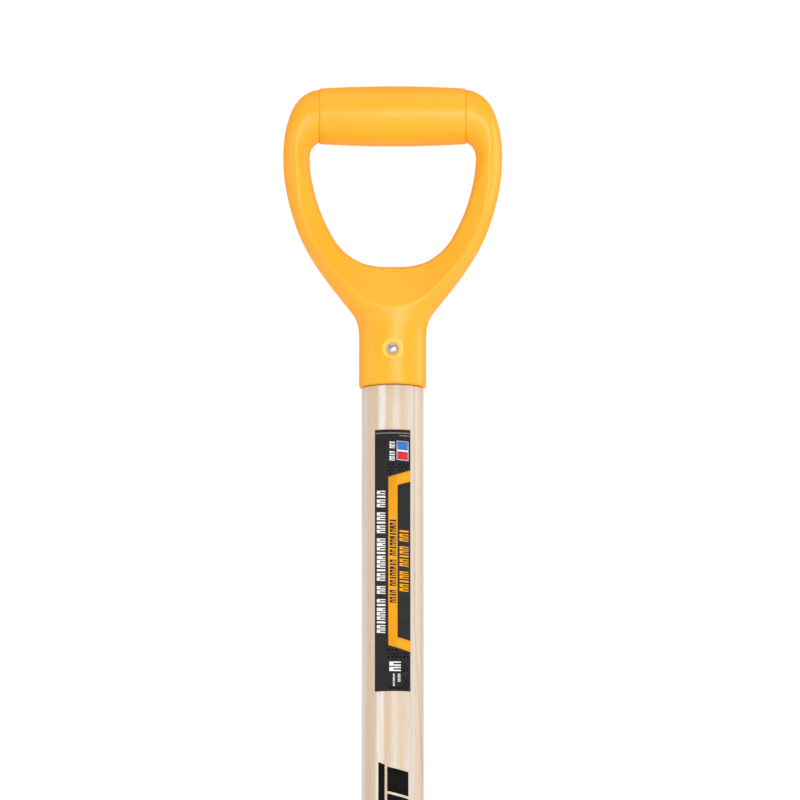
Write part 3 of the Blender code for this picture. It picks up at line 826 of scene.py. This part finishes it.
def make_label():
    """The film, its orange band, plain blocks for the lines of print, and small triangles."""
    body = [block(LABEL_LEFT, LABEL_RIGHT, 0.0, LABEL_MM)]
    wrapped("label_film", body, FILM_RADIUS, FILM_THICKNESS, FILM, "label_film", "shaft_label")
    ink = FILM_RADIUS + FILM_THICKNESS + INK_LIFT
    band = [(LABEL_RIGHT, BAND_TOP), (BAND_LEFT, 29.6), (BAND_LEFT, BAND_BOTTOM),
            (LABEL_RIGHT, 138.1), (LABEL_RIGHT, 131.1), (BAND_INNER, 129.0),
            (BAND_INNER, 34.6), (LABEL_RIGHT, 32.1)]
    white = greeked(-9.6, -4.4, 37.6, 126.4, (4, 5, 10, 2, 8), 0.35)
    white += greeked(-1.9, 1.4, 7.2, 19.4, (3, 4), 0.2)
    white += greeked(-2.0, 5.0, 143.8, 150.4, (2,), 0.0)
    orange = greeked(4.2, 9.7, 61.9, 100.7, (3, 5, 5), 0.35)
    above = ink + INK_THICKNESS + INK_LIFT
    dark = greeked(-1.7, 2.3, 55.6, 107.9, (11, 8, 4), 0.3)
    small = [block(-10.4 + i * 1.0, -10.4 + i * 1.0 + 0.72, 1.9, 2.5) for i in range(21)]
    small += [block(4.2 + i * 1.0, 4.2 + i * 1.0 + 0.72, 3.5, 4.1) for i in range(6)]
    faint = greeked(3.2, 4.8, 151.6, 156.8, (5,)) + greeked(0.2, 1.4, 151.6, 159.4, (8,))
    for name, outlines, radius, finish in (
            ("label_band", [band], ink, ORANGE_INK),
            ("label_white_print", white, ink, WHITE_INK),
            ("label_orange_print", orange, ink, ORANGE_INK),
            ("label_dark_print", dark, above, FILM),
            ("label_small_print", small, ink, GREY_INK),
            ("label_faint_print", faint, ink, WHITE_INK),
            ("label_patch_white", [block(2.5, 9.6, 7.0, 18.9, 0.5)], ink, WHITE_INK),
            ("label_patch_blue", [block(2.8, 9.3, 7.3, 12.5, 0.45)], above, BLUE_INK),
            ("label_patch_red", [block(2.8, 9.3, 13.5, 18.6, 0.45)], above, RED_INK),
            ("label_pattern", pattern_marks(), ink, DARK_INK)):
        wrapped(name, outlines, radius, INK_THICKNESS, finish, "label_film")


def pattern_marks():
    """Small triangles, strewn on the film above and below the band and clear of the print."""
    rng = np.random.default_rng(7)
    marks = []
    for top, bottom, rows in ((20.6, 28.4, 4), (136.0, 161.6, 12)):
        for row in range(rows):
            for column in range(6):
                across = BAND_LEFT + column * 2.4 + (row % 2) * 1.2
                down = top + (bottom - top) * (row + 0.5) / rows
                edge = BAND_TOP + (LABEL_RIGHT - across) * SLANT if top < 60 else 0
                if top < 60 and down > edge - 1.6:
                    continue
                if top > 60 and down < BAND_BOTTOM + (across - BAND_LEFT) * 0.30 + 1.4:
                    continue
                if across > LABEL_RIGHT - 1.0 or rng.random() < 0.12:
                    continue
                if top > 60 and across < 5.9 and 142.8 < down < 160.0:
                    continue
                size = 0.90 + 0.35 * rng.random()
                spin = rng.random() * 2 * pi
                marks.append([(across + size * sin(spin + k * 2 * pi / 3),
                               down + size * cos(spin + k * 2 * pi / 3)) for k in range(3)])
    return marks


def make_shaft_print():
    """A generic printed mark below the label: one long bar and a row of slanted blocks."""
    top = (LABEL_TOP - SHAFT_PRINT_Z) / MM
    lean = 3.3
    shapes = [block(-8.75, -4.85, top, top + 112.0, 1.7)]
    at = top + 3.0
    for length in (15.0, 12.5, 14.0, 12.5, 15.0, 12.5, 14.0):
        shapes.append(block(-3.3, 9.7, at, at + length, lean))
        at += length + 1.6
    wrapped("shaft_print", shapes, SHAFT_RADIUS + INK_THICKNESS, INK_THICKNESS, DARK_INK, "wood")


make_label()
make_shaft_print()

# ---------------- pan

LIFT = radians(17)
HEEL_Z = -0.7500
AXIS_OVER_HEEL = 0.0420
PAN_LENGTH = 0.4570
PAN_HALF_WIDTH_TIP = 0.1840
PAN_HALF_WIDTH_HEEL = 0.1660
CORNER_RADIUS = 0.0900
WALL_HEIGHT_HEEL = 0.0850
WALL_HEIGHT_TIP = 0.0260
WALL_RUN = 0.0700
WALL_POWER = 1.8
HEEL_RUN = 0.0900                # the length over which the heel's wall stays at its full height
SHEET = 0.0022
HUMP_WIDTH = 0.0340
HUMP_BLEND = 0.014
RIBS = ((0.0, 0.290), (0.054, 0.262), (-0.054, 0.262), (0.104, 0.150), (-0.104, 0.150))
RIB_END = 0.425
RIB_RISE = 0.0032
RIB_REACH = 0.0078
ROLL_RADIUS = 0.0027
ROLL_RADIUS_TIP = 0.0011
TUBE_RADIUS = 0.02175
HUMP_OVER_TUBE = 0.0030
HUMP_TOP = AXIS_OVER_HEEL + TUBE_RADIUS / cos(LIFT) + HUMP_OVER_TUBE

along_floor = Vector((0.0, -sin(LIFT), -cos(LIFT)))
off_floor = Vector((0.0, -cos(LIFT), sin(LIFT)))
heel = Vector((0.0, AXIS_OVER_HEEL * cos(LIFT), HEEL_Z))
PLATE_THICKNESS = 0.0028


def pan_points(x, s, h):
    """Points of the pan, from the place across it, along its floor from the heel, and above it."""
    return (np.array(heel) + np.stack([x, 0 * x, 0 * x], axis=-1)
            + s[..., None] * np.array(along_floor) + h[..., None] * np.array(off_floor))


def half_width(s):
    return PAN_HALF_WIDTH_HEEL + (PAN_HALF_WIDTH_TIP - PAN_HALF_WIDTH_HEEL) * s / PAN_LENGTH


def outline_half_width(s):
    """Half the pan's width, with the heel's round corners taken off."""
    corner = np.sqrt(np.maximum(CORNER_RADIUS ** 2 - (CORNER_RADIUS - s) ** 2, 0))
    return np.where(s >= CORNER_RADIUS, half_width(s), half_width(s) - CORNER_RADIUS + corner)


def from_outline(x, s):
    """How far a place of the pan is from its outline, the open tip apart."""
    across = np.abs(x) - (half_width(s) - CORNER_RADIUS)
    behind = CORNER_RADIUS - s
    round_corner = CORNER_RADIUS - np.hypot(across, behind)
    return np.where((across > 0) & (behind > 0), round_corner,
                    np.minimum(half_width(s) - np.abs(x), s))


def pan_height(x, s):
    """Height of the sheet's back over the floor: the walls, and the hump over the socket."""
    t = np.clip((s - HEEL_RUN) / (PAN_LENGTH - HEEL_RUN), 0, 1)
    rim = WALL_HEIGHT_HEEL + (WALL_HEIGHT_TIP - WALL_HEIGHT_HEEL) * (0.35 * t + 0.65 * t * t)
    wall = rim * np.maximum(1 - from_outline(x, s) / WALL_RUN, 0) ** WALL_POWER
    crest = soft_max(HUMP_TOP - s * tan(LIFT), 0 * s, 0.012)
    hump = crest * np.exp(-(x / HUMP_WIDTH) ** 4)
    blend = np.maximum(np.minimum(np.minimum(hump, wall), HUMP_BLEND), 1e-5)
    return np.where((hump < 0.0002) | (wall < 0.0002), np.maximum(hump, wall),
                    soft_max(wall, hump, blend))


def rib_height(x, s):
    """Five long ribs pressed up into the floor, each with rounded ends."""
    raised = 0 * x
    for middle, start in RIBS:
        lane = middle * (0.94 + 0.12 * s / PAN_LENGTH)
        over = np.maximum(np.maximum(start - s, s - RIB_END), 0)
        away = np.hypot(x - lane, over)
        raised = raised + RIB_RISE * np.exp(-(away / RIB_REACH) ** 4)
    return raised


def make_pan():
    """One drawn sheet. Its mesh is finer at the rim and towards the heel."""
    columns, rows = 300, 280
    u = np.linspace(-1, 1, columns + 1)
    u = 0.45 * u + 0.55 * np.sin(u * pi / 2)
    v = np.linspace(0, 1, rows + 1)
    s = PAN_LENGTH * (0.15 * v + 0.85 * (1 - np.cos(v * pi / 2)) * (0.6 + 0.4 * v))
    x = outline_half_width(s)[:, None] * u[None, :]
    s = np.tile(s[:, None], (1, columns + 1))
    verts = pan_points(x, s, pan_height(x, s) + rib_height(x, s)).reshape(-1, 3)
    index = np.arange((rows + 1) * (columns + 1)).reshape(rows + 1, columns + 1)
    faces = np.stack([index[:-1, :-1], index[1:, :-1], index[1:, 1:], index[:-1, 1:]],
                     axis=-1).reshape(-1, 4)
    mesh = mesh_from("pan_sheet", verts, faces, 40)
    piece = new_piece("pan_sheet", mesh, ALUMINIUM, "aluminium_sheet", "scoop_blade")
    shell = piece.modifiers.new("sheet", "SOLIDIFY")
    shell.thickness = SHEET
    shell.offset = 1.0
    shell.use_even_offset = True


make_pan()


def swept(path, radii, steps):
    """Vertices and faces of a closed round bar along the path, with flat ends."""
    path = np.array(path)
    run = np.gradient(path, axis=0)
    run /= np.linalg.norm(run, axis=1)[:, None]
    side = np.cross(run, np.array(off_floor))
    side /= np.linalg.norm(side, axis=1)[:, None]
    up = np.cross(side, run)
    angle = np.arange(steps) * 2 * pi / steps
    ring = (side[:, None, :] * np.cos(angle)[None, :, None]
            + up[:, None, :] * np.sin(angle)[None, :, None])
    verts = (path[:, None, :] + ring * np.array(radii)[:, None, None]).reshape(-1, 3)
    index = np.arange(len(path) * steps).reshape(len(path), steps)
    after = np.roll(index, -1, axis=1)
    quads = np.stack([index[:-1], index[1:], after[1:], after[:-1]], axis=-1).reshape(-1, 4)
    faces = [tuple(q) for q in quads]
    verts = np.vstack([verts, path[0], path[-1]])
    first, last = len(verts) - 2, len(verts) - 1
    faces += [(first, index[0][i], after[0][i]) for i in range(steps)]
    faces += [(last, after[-1][i], index[-1][i]) for i in range(steps)]
    return verts, faces


def sheet_middle(x, s):
    """Points halfway through the sheet above the places (x, s) of the pan's back."""
    reach = 0.0002
    height = pan_height(x, s)
    slope_x = (pan_height(x + reach, s) - pan_height(x - reach, s)) / (2 * reach)
    slope_s = (pan_height(x, s + reach) - pan_height(x, s - reach)) / (2 * reach)
    length = np.sqrt(1 + slope_x ** 2 + slope_s ** 2)
    half = SHEET / 2 / length
    return pan_points(x - slope_x * half, s - slope_s * half, height + half)


def make_pan_roll():
    """The edge of the heel and of both walls, rolled over into a bead that fades at the tip."""
    s = PAN_LENGTH * np.linspace(1, 0, 200) ** 1.6
    corner = outline_half_width(np.zeros(1))[0] - 1e-6
    x = np.linspace(corner, -corner, 161)[1:-1]
    side = outline_half_width(s) - 1e-6
    across = np.concatenate([side, x, -side[::-1]])
    along = np.concatenate([s, 0 * x, s[::-1]])
    path = sheet_middle(across, along)
    keep = [0] + [i for i in range(1, len(path)) if np.linalg.norm(path[i] - path[i - 1]) > 1e-5]
    path = path[keep]
    off_tip = soft_step(PAN_LENGTH - along[keep], 0.004, 0.060)
    radii = ROLL_RADIUS_TIP + (ROLL_RADIUS - ROLL_RADIUS_TIP) * off_tip
    verts, faces = swept(path, radii, 20)
    new_piece("pan_rolled_edge", mesh_from("pan_rolled_edge", verts, faces), ALUMINIUM,
              "aluminium_sheet")


make_pan_roll()

# ---------------- pan rivets

on_pan = Matrix.Translation(heel) @ Matrix((
    (1.0, 0.0, 0.0, 0.0),
    (0.0, along_floor.y, -off_floor.y, 0.0),
    (0.0, along_floor.z, -off_floor.z, 0.0),
    (0.0, 0.0, 0.0, 1.0)))
outward = on_pan.to_3x3().to_4x4() @ Matrix.Rotation(pi, 4, "X")
PAN_RIVET_SHANK = 0.0030
PAN_RIVET_HEAD = 0.0060
PAN_RIVET_DOME = 0.0024


def make_pan_rivets():
    for number in range(1, 7):
        name = f"blade_rivet_{number}"
        low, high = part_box(name)
        centre = (low + high) / 2
        grip_length = SHEET + PLATE_THICKNESS + 3 * GAP
        half = (grip_length + PAN_RIVET_DOME + TAIL_SHARE * PAN_RIVET_DOME) / 2
        rivet(name + "_fine", name, -half, half, PAN_RIVET_SHANK, PAN_RIVET_HEAD, PAN_RIVET_DOME,
              Matrix.Translation(centre) @ outward)


make_pan_rivets()

# ---------------- socket and base plate

TUBE_WALL = 0.0024
TUBE_TOE_Z = -0.8400
TUBE_TOE_BORE = 0.0156
PLATE_REAR = 0.0720
PLATE_FRONT = 0.2440
PLATE_HALF_WIDTH_REAR = 0.0800
PLATE_HALF_WIDTH_FRONT = 0.0700
PLATE_CORNER = 0.0160
PLATE_EDGE = 0.0008


def make_socket_tube():
    """The tapered tube, its mouth rolled to a round lip, cut off where it enters the plate."""
    rim_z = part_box("blade_socket")[1].z
    rim_bore = SHAFT_RADIUS + GAP
    lip = TUBE_WALL / 2

    def bore(z):
        return rim_bore + (TUBE_TOE_BORE - rim_bore) * (rim_z - z) / (rim_z - TUBE_TOE_Z)

    profile = [(bore(rim_z - lip) + lip - lip * cos(a), rim_z - lip + lip * sin(a))
               for a in (i * pi / 12 for i in range(13))]
    levels = [rim_z - lip - (rim_z - lip - TUBE_TOE_Z) * i / 60 for i in range(1, 61)]
    profile += [(bore(z) + TUBE_WALL, z) for z in levels]
    profile += [(bore(z), z) for z in reversed(levels)]
    profile.append(profile[0])
    verts, faces = lathe(profile, 96)
    mesh = mesh_from("socket_tube", verts, faces, 35)
    shape = bmesh.new()
    shape.from_mesh(mesh)
    cut = on_pan @ Vector((0, 0, GAP + PLATE_THICKNESS / 2))
    bmesh.ops.bisect_plane(shape, geom=shape.verts[:] + shape.edges[:] + shape.faces[:],
                           dist=1e-7, plane_co=cut, plane_no=-off_floor, clear_outer=True)
    shape.to_mesh(mesh)
    shape.free()
    mesh.shade_smooth()
    new_piece("socket_tube", mesh, SOCKET_ALLOY, "socket_alloy", "blade_socket")


def make_base_plate():
    """The plate under the floor, a trapezium with round corners and broken edges."""
    rings = []
    corners = ((PLATE_HALF_WIDTH_FRONT, PLATE_FRONT, 0), (-PLATE_HALF_WIDTH_FRONT, PLATE_FRONT, 1),
               (-PLATE_HALF_WIDTH_REAR, PLATE_REAR, 2), (PLATE_HALF_WIDTH_REAR, PLATE_REAR, 3))
    steps = [(0.0, 0.0), (0.0, PLATE_THICKNESS - PLATE_EDGE)]
    steps += [(PLATE_EDGE * (1 - cos(a)), PLATE_THICKNESS - PLATE_EDGE * (1 - sin(a)))
              for a in (i * pi / 8 for i in range(1, 5))]
    for inset, depth in steps:
        ring = []
        radius = PLATE_CORNER - inset
        for corner_x, corner_s, quarter in corners:
            middle_x = corner_x - PLATE_CORNER * sqrt(2) * cos(quarter * pi / 2 + pi / 4)
            middle_s = corner_s - PLATE_CORNER * sqrt(2) * sin(quarter * pi / 2 + pi / 4)
            for i in range(13):
                a = quarter * pi / 2 + i * pi / 24
                ring.append(on_pan @ Vector((middle_x + radius * cos(a),
                                             middle_s + radius * sin(a), GAP + depth)))
        rings.append(ring)
    count = len(rings[0])
    verts = [v for ring in rings for v in ring]
    faces = [tuple(range(count))[::-1]]
    for level in range(len(rings) - 1):
        for i in range(count):
            k = (i + 1) % count
            a = level * count
            faces.append((a + i, a + k, a + count + k, a + count + i))
    faces.append(tuple(range(len(verts) - count, len(verts))))
    new_piece("base_plate", mesh_from("base_plate", verts, faces, 30), SOCKET_ALLOY,
              "socket_alloy", "blade_socket")


make_socket_tube()
make_base_plate()

# ---------------- floor, light and camera

PICTURE = 0.4956                 # metres that the picture's side covers at the shaft
AIM = Vector((0.00455, 0.0, -0.1598))
CAMERA_DISTANCE = 5.5
CAMERA_ELEVATION = radians(-8.5)
FLOOR_HALF = 30.0
FLOOR_GAP = 0.002
FADE_START, FADE_END = 2.5, 8.0
LIGHT_AIM = Vector((0, 0, -0.25))
LIGHT_DISTANCE = 6.0


def make_floor():
    """A wide pale floor that fades to the white of the background far from the tool."""
    mesh = bpy.data.meshes.new("floor")
    shape = bmesh.new()
    bmesh.ops.create_grid(shape, x_segments=2, y_segments=2, size=FLOOR_HALF)
    shape.to_mesh(mesh)
    shape.free()
    floor = placed("floor", mesh)
    floor.location = (0, 0, cad_box[0].z - FLOOR_GAP)
    pale = Shader("pale_floor", roughness=0.85)
    pale.set("Base Color", pale.ramp(pale.noise(3.0), (0.3, (0.84, 0.84, 0.84)),
                                     (0.7, (0.88, 0.88, 0.88))))
    away = pale.node("VectorMath")
    away.operation = "LENGTH"
    pale.put(away.inputs[0], pale.place)
    pale.set("Emission Color", (1.0, 1.0, 1.0, 1.0))
    glow = pale.span(away.outputs["Value"], FADE_START, FADE_END, 0.20, 0.6)
    pale.set("Emission Strength", glow)
    mesh.materials.append(pale.made)


def area_light(name, azimuth, elevation, width, height, power):
    """A soft box, aimed under the grip. Azimuth 0 is the front, 90 the right-hand side."""
    light = bpy.data.lights.new(name, "AREA")
    light.shape = "ELLIPSE"
    light.size = width
    light.size_y = height
    light.energy = power
    a, e = radians(azimuth), radians(elevation)
    back = Vector((sin(a) * cos(e), -cos(a) * cos(e), sin(e)))
    made = placed(name, light)
    made.location = LIGHT_AIM + back * LIGHT_DISTANCE
    made.rotation_mode = "QUATERNION"
    made.rotation_quaternion = back.to_track_quat("Z", "Y")


def make_light():
    """White behind the tool, soft even light all round, and four soft boxes."""
    world = bpy.data.worlds.new("studio")
    bpy.context.scene.world = world
    world.use_nodes = True
    nodes, links = world.node_tree.nodes, world.node_tree.links
    shown = nodes["Background"]
    shown.inputs["Color"].default_value = (1, 1, 1, 1)
    shown.inputs["Strength"].default_value = 1.0
    lit = nodes.new("ShaderNodeBackground")
    lit.inputs["Color"].default_value = (1.0, 0.99, 0.98, 1)
    lit.inputs["Strength"].default_value = 0.71
    path = nodes.new("ShaderNodeLightPath")
    either = nodes.new("ShaderNodeMixShader")
    links.new(path.outputs["Is Camera Ray"], either.inputs["Fac"])
    links.new(lit.outputs["Background"], either.inputs[1])
    links.new(shown.outputs["Background"], either.inputs[2])
    links.new(either.outputs["Shader"], nodes["World Output"].inputs["Surface"])
    area_light("front_box", 14, 5, 4.6, 1.9, 136)
    area_light("left_box", -88, 14, 2.3, 3.2, 24)
    area_light("right_box", 108, 14, 2.3, 3.2, 64)
    area_light("top_box", 0, 75, 5.0, 5.0, 45)


def make_camera():
    """Looks at the upper part of the tool from the front and slightly below."""
    data = bpy.data.cameras.new("camera")
    camera = placed("camera", data)
    data.sensor_width = 36
    data.lens = data.sensor_width * CAMERA_DISTANCE / PICTURE
    data.clip_start, data.clip_end = 0.1, 60
    back = Vector((0, -cos(CAMERA_ELEVATION), sin(CAMERA_ELEVATION)))
    camera.location = AIM + back * CAMERA_DISTANCE
    camera.rotation_mode = "QUATERNION"
    camera.rotation_quaternion = back.to_track_quat("Z", "Y")
    bpy.context.scene.camera = camera


make_floor()
make_light()
make_camera()
bpy.context.scene.view_settings.view_transform = "Standard"
